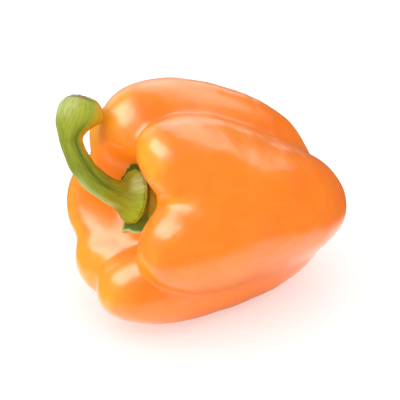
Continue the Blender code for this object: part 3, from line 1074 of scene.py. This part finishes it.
def specks_group():
    """Sparse small specks: points scattered by cells, each kept only where its draw is low."""
    graph, given, result = new_group("Specks", [
        ("Place", "NodeSocketVector", None), ("Scale", "NodeSocketFloat", 300.0),
        ("Size", "NodeSocketFloat", 0.2), ("Share", "NodeSocketFloat", 0.1),
    ], [("Mask", "NodeSocketFloat")])
    cells = graph.add("ShaderNodeTexVoronoi", {
        "Vector": given.outputs["Place"], "Scale": given.outputs["Scale"],
    })
    near = graph.math("LESS_THAN", cells.outputs["Distance"], given.outputs["Size"])
    draw = graph.add("ShaderNodeSeparateColor", {"Color": cells.outputs["Color"]}).outputs[0]
    kept = graph.math("LESS_THAN", draw, given.outputs["Share"])
    graph.put(result.inputs["Mask"], graph.math("MULTIPLY", near, kept))
    return graph.tree


def scuff_group():
    """One small scuff: a spot round a place, with a ragged edge.

    The distance from its middle, as a share of its size, has noise added before it is eased.
    """
    graph, given, result = new_group("Scuff", [
        ("Place", "NodeSocketVector", None), ("Middle", "NodeSocketVector", None),
        ("Size", "NodeSocketFloat", 0.001),
    ], [("Mask", "NodeSocketFloat")])
    offset = graph.add("ShaderNodeVectorMath", operation="SUBTRACT")
    graph.put(offset.inputs[0], given.outputs["Place"])
    graph.put(offset.inputs[1], given.outputs["Middle"])
    length = graph.add("ShaderNodeVectorMath", operation="LENGTH")
    graph.put(length.inputs[0], offset.outputs["Vector"])
    share = graph.add("ShaderNodeMath", operation="DIVIDE")
    graph.put(share.inputs[0], length.outputs["Value"])
    graph.put(share.inputs[1], given.outputs["Size"])
    noise = graph.add("ShaderNodeTexNoise", {
        "Vector": given.outputs["Place"], **SCUFF_GRAIN,
    })
    ragged = graph.add("ShaderNodeMath", operation="MULTIPLY_ADD")
    graph.put(ragged.inputs[0], noise.outputs[0])
    graph.put(ragged.inputs[1], SCUFF_RAGGED)
    graph.put(ragged.inputs[2], share.outputs[0])
    graph.put(result.inputs["Mask"], graph.span(ragged.outputs[0], *SCUFF_SPAN))
    return graph.tree


def new_material(name, values):
    """A material: its graph, its Principled shader with constant values set, and its place."""
    material = bpy.data.materials.new(name)
    material.use_nodes = True
    shader = material.node_tree.nodes["Principled BSDF"]
    for label, value in values.items():
        shader.inputs[label].default_value = value
    graph = Graph(material.node_tree)
    return material, graph, shader, graph.add("ShaderNodeTexCoord").outputs["Object"]


def scuff_places():
    """Where the scuffs lie in the frame, in metres: on the skin along each one's direction."""
    azimuth, polar, _ = np.radians(np.array(SCUFFS)).T
    level = np.stack([np.cos(azimuth), np.sin(azimuth), 0 * azimuth], axis=-1)
    direction = np.sin(polar)[:, None] * level + np.cos(polar)[:, None] * UPRIGHT
    return lay_down(press_pit(direction * find_skin(0.0, direction)[:, None]))


def skin_material(settings, groups):
    """Waxy skin: riper patches, yellow shoulders, painted shade in the creases, faint streaks,
    scuffs and a scar.

    The pit round the stem, where the wall is thin, gets a painted glow of the skin's own colour,
    which brightens its shade.
    """
    material, graph, shader, place = new_material("pepper_skin", SKIN_SHADER)
    streaks = graph.mask(groups["patches"], graph.attribute("grain", "Vector"), SKIN_STREAKS)
    masks = {
        "patches": graph.mask(groups["patches"], place, SKIN_PATCHES),
        "crest": graph.math("MULTIPLY", graph.attribute("crest"),
                            graph.span(streaks, 0.0, 1.0, *CREST_SHARES)),
        # Painted shade in the creases
        "hollow": graph.span(graph.attribute("hollow"), *CREASE_SHADE_SPAN),
        "streaks": streaks,
        "specks": graph.mask(groups["specks"], place, SKIN_SPECKS),
    }
    colour = graph.layers(settings.skin, SKIN_LAYERS, masks, settings)
    for scuff, middle in zip(SCUFFS, scuff_places()):
        values = {"Middle": tuple(middle), "Size": scuff.size * MM}
        mask = graph.mask(groups["scuff"], place, values)
        colour = graph.mix(graph.math("MULTIPLY", mask, SCUFF_SHARE), colour, settings.scar)
    button = graph.span(graph.attribute("button"), *BUTTON_SPAN)
    graph.put(shader.inputs["Base Color"], graph.mix(button, colour, settings.scar))
    sheen = graph.mask(groups["patches"], place, SKIN_SHEEN)
    rough = graph.span(sheen, 0.0, 1.0, *SKIN_ROUGHNESS)
    graph.put(shader.inputs["Roughness"], graph.switch(button, rough, BUTTON_ROUGHNESS))
    # Painted glow: emission of the skin's colour in the pit, which brightens its shade
    shader.inputs["Emission Color"].default_value = (*settings.skin, 1)
    glow = graph.span(graph.attribute("pit"), 0.0, 1.0, 0.0, settings.glow)
    graph.put(shader.inputs["Emission Strength"], glow)
    graph.put(shader.inputs["Normal"], graph.relief(place, SKIN_RELIEF))
    return material


def stem_material(settings, groups):
    """Olive green stalk with fibres and grooves, a paler knob, a dark calyx and a dried cut."""
    material, graph, shader, place = new_material("stem_green", STEM_SHADER)
    tube = graph.attribute("tube", "Vector")
    split = graph.add("ShaderNodeSeparateXYZ", {"Vector": graph.attribute("round", "Vector")})
    values = dict(zip(("inner", "front", "along"), split.outputs))
    values |= {label: graph.attribute(label) for label in ("edge", "cut")}
    masks = {label: graph.product(spans, values) for label, spans in STEM_MASKS.items()}
    masks |= {
        "fibres": graph.mask(groups["patches"], tube, STEM_FIBRES),
        "patches": graph.mask(groups["patches"], place, STEM_PATCHES),
        "mottle": graph.mask(groups["patches"], tube, STEM_MOTTLE),
        "grooves": graph.attribute("groove"),
    }
    # These layers include painted shade in the grooves and painted reflected orange on the inner
    # side
    stalk = graph.layers(settings.green, STALK_LAYERS, masks, settings)
    leaf = graph.layers(settings.calyx, CALYX_LAYERS, masks, settings)
    dried = graph.mix(masks["patches"], settings.dry, settings.pale)
    colour = graph.mix(graph.attribute("calyx"), stalk, leaf)
    colour = graph.mix(masks["cut"], colour, dried)
    specks = graph.mask(groups["specks"], place, STEM_SPECKS)
    colour = graph.mix(graph.math("MULTIPLY", specks, STEM_SPECK_SHARE), colour, settings.groove)
    graph.put(shader.inputs["Base Color"], colour)
    graph.put(shader.inputs["Roughness"], graph.span(masks["fibres"], 0.0, 1.0, *STEM_ROUGHNESS))
    graph.put(shader.inputs["Normal"], graph.relief(tube, STEM_RELIEF))
    return material


def floor_material(settings, groups):
    """Pale matt floor with a barely seen unevenness and a glow of its own.

    Glossy rays see it dark, except for a brighter ring round the fruit, so that its reflection
    lies low on the fruit as a pale band.
    """
    material, graph, shader, place = new_material("pale_floor", FLOOR_SHADER)
    patches = graph.mask(groups["patches"], place, FLOOR_PATCHES)
    darker = tuple(FLOOR_DARKER * level for level in settings.floor)
    unlit = tuple(FLOOR_UNLIT * level for level in settings.floor)
    mirrored = graph.add("ShaderNodeLightPath").outputs["Is Glossy Ray"]
    colour = graph.mix(patches, settings.floor, darker)
    graph.put(shader.inputs["Base Color"], graph.mix(mirrored, colour, unlit))
    length = graph.add("ShaderNodeVectorMath", operation="LENGTH")
    graph.put(length.inputs[0], place)
    away = length.outputs["Value"]
    ring = graph.math("MULTIPLY", graph.span(away, *NEAR_GLOW_OUTSIDE),
                      graph.span(away, *NEAR_GLOW_INSIDE, NEAR_GLOW_MIDDLE, 1.0))
    near = graph.span(ring, 0.0, 1.0, 0.0, settings.near_glow)
    graph.put(shader.inputs["Emission Strength"], graph.switch(mirrored, settings.glow, near))
    return material


def shared_groups():
    """The effects that are used more than once, built at the first call."""
    if "Patches" not in bpy.data.node_groups:
        patches_group()
        specks_group()
        scuff_group()
    names = {"patches": "Patches", "specks": "Specks", "scuff": "Scuff"}
    return {key: bpy.data.node_groups[name] for key, name in names.items()}


def seen_from(azimuth, elevation):
    """The direction to a point at an azimuth from the front and an elevation, in radians."""
    level = math.cos(elevation)
    return Vector((math.sin(azimuth) * level, -math.cos(azimuth) * level, math.sin(elevation)))


def camera_axes(settings):
    """The camera's right, up and backward directions."""
    azimuth, roll = settings.azimuth, settings.roll
    back = seen_from(azimuth, settings.elevation)
    level = Vector((math.cos(azimuth), math.sin(azimuth), 0))
    right = math.cos(roll) * level + math.sin(roll) * back.cross(level)
    return right, back.cross(right), back


def add_camera(settings):
    """A camera at the photo's viewing angle, placed so that the lobes' middle is at its pixel."""
    right, upright, back = camera_axes(settings)
    scale = settings.pixels_per_mm / MM
    data = bpy.data.cameras.new("camera")
    data.sensor_width = SENSOR
    data.lens = SENSOR * settings.distance * scale / PHOTO_WIDTH
    camera = bpy.data.objects.new("camera", data)
    bpy.context.scene.collection.objects.link(camera)
    aside = (PHOTO_WIDTH / 2 - MIDDLE_PIXEL[0]) / scale
    above = (MIDDLE_PIXEL[1] - PHOTO_WIDTH / 2) / scale
    place = Vector(MIDDLE * MM) + back * settings.distance + right * aside + upright * above
    turn = Matrix((right, upright, back)).transposed()
    camera.matrix_world = Matrix.Translation(place) @ turn.to_4x4()
    bpy.context.scene.camera = camera


def add_light(name, stand, brightness):
    """A rectangular light that faces the fruit's middle and that the camera doesn't see.

    The brightness is its own, as a surface of that size shows it.
    """
    towards = seen_from(math.radians(stand.azimuth), math.radians(stand.elevation))
    data = bpy.data.lights.new(name, "AREA")
    data.shape = "RECTANGLE"
    data.size, data.size_y = stand.size
    data.energy = brightness * math.pi * data.size * data.size_y
    light = bpy.data.objects.new(name, data)
    bpy.context.scene.collection.objects.link(light)
    light.location = Vector(MIDDLE * MM) + towards * stand.distance
    light.rotation_euler = towards.to_track_quat("Z", "Y").to_euler()
    light.visible_camera = False
    return light


def add_lights(settings):
    """A soft light that only lights, and white cards that only the gloss mirrors."""
    add_light("key", KEY, settings.key).visible_glossy = False
    for name, stand in CARDS.items():
        add_light(name, stand, getattr(settings, name)).visible_diffuse = False


def add_floor(settings, groups):
    """A round floor on the surface that the pepper lies on: circles of points round its middle."""
    angle = np.linspace(0, 2 * math.pi, FLOOR_POINTS, endpoint=False)
    circle = np.stack([np.cos(angle), np.sin(angle), 0 * angle], axis=-1)
    rings = np.array(FLOOR_RADII)[:, None, None] * circle
    points = np.concatenate([np.zeros((1, 3)), rings.reshape(-1, 3)])
    start = np.arange(FLOOR_POINTS)
    end = (start + 1) % FLOOR_POINTS
    faces = np.stack([0 * start, 1 + start, 1 + end], axis=-1).tolist()
    for ring in range(len(FLOOR_RADII) - 1):
        here = 1 + ring * FLOOR_POINTS
        beyond = here + FLOOR_POINTS
        quads = np.stack([here + start, beyond + start, beyond + end, here + end], axis=-1)
        faces += quads.tolist()
    mesh = bpy.data.meshes.new("floor")
    mesh.from_pydata(points.tolist(), [], faces)
    mesh.materials.append(floor_material(settings, groups))
    floor = bpy.data.objects.new("floor", mesh)
    bpy.context.scene.collection.objects.link(floor)


def add_world(settings):
    """An even pale room, which lights matt surfaces and isn't mirrored in the gloss."""
    world = bpy.data.worlds.new("room")
    world.use_nodes = True
    background = world.node_tree.nodes["Background"]
    background.inputs["Color"].default_value = WHITE
    background.inputs["Strength"].default_value = settings.sky
    world.cycles_visibility.glossy = False
    bpy.context.scene.world = world


class PEPPER_OT_add_fruit(bpy.types.Operator):
    """Build the fruit's skin in place of its CAD node"""
    bl_idname = "pepper.add_fruit"
    bl_label = "Add Fruit"

    def execute(self, context):
        settings = context.scene.pepper_fruit
        mesh = ring_mesh("pepper_fruit", *fruit_surface(settings))
        add_piece(mesh, skin_material(settings, shared_groups()), "fruit")
        return {"FINISHED"}


class PEPPER_OT_add_stem(bpy.types.Operator):
    """Build the stem with its calyx in place of its CAD node"""
    bl_idname = "pepper.add_stem"
    bl_label = "Add Stem"

    def execute(self, context):
        settings = context.scene.pepper_stem
        mesh = ring_mesh("pepper_stem", *stem_surface(settings))
        add_piece(mesh, stem_material(settings, shared_groups()), "stem")
        return {"FINISHED"}


class PEPPER_OT_add_stage(bpy.types.Operator):
    """Build the floor, the room, the soft lights and the camera"""
    bl_idname = "pepper.add_stage"
    bl_label = "Add Stage"

    def execute(self, context):
        settings = context.scene.pepper_stage
        add_floor(settings, shared_groups())
        add_world(settings)
        add_lights(settings)
        add_camera(settings)
        context.scene.view_settings.view_transform = "Standard"
        return {"FINISHED"}


class PEPPER_PT_sidebar(bpy.types.Panel):
    """The pepper's settings and operators"""
    bl_idname = "PEPPER_PT_sidebar"
    bl_label = "Bell Pepper"
    bl_space_type = "VIEW_3D"
    bl_region_type = "UI"
    bl_category = "Pepper"

    def draw(self, context):
        for group, operator in SECTIONS:
            settings = getattr(context.scene, group)
            box = self.layout.box()
            for name in settings.bl_rna.properties.keys():
                if name not in ("rna_type", "name"):
                    box.prop(settings, name)
            box.operator(operator)


SECTIONS = (
    ("pepper_fruit", "pepper.add_fruit"),
    ("pepper_stem", "pepper.add_stem"),
    ("pepper_stage", "pepper.add_stage"),
)
GROUPS = {
    "pepper_fruit": FruitSettings,
    "pepper_stem": StemSettings,
    "pepper_stage": StageSettings,
}
CLASSES = (
    FruitSettings,
    StemSettings,
    StageSettings,
    PEPPER_OT_add_fruit,
    PEPPER_OT_add_stem,
    PEPPER_OT_add_stage,
    PEPPER_PT_sidebar,
)

# Middle of the lobes in the frame, which the pieces, the camera and the lights are placed from
MIDDLE = lobes_middle()


def register():
    """Register the classes and hang the settings on the scene."""
    for kind in CLASSES:
        bpy.utils.register_class(kind)
    for name, kind in GROUPS.items():
        setattr(bpy.types.Scene, name, PointerProperty(type=kind))


def unregister():
    """Take the settings and the classes away again."""
    for name in GROUPS:
        delattr(bpy.types.Scene, name)
    for kind in reversed(CLASSES):
        bpy.utils.unregister_class(kind)


def main():
    """Build everything in order."""
    register()
    bpy.ops.pepper.add_fruit()
    bpy.ops.pepper.add_stem()
    bpy.ops.pepper.add_stage()


if __name__ == "__main__":
    main()
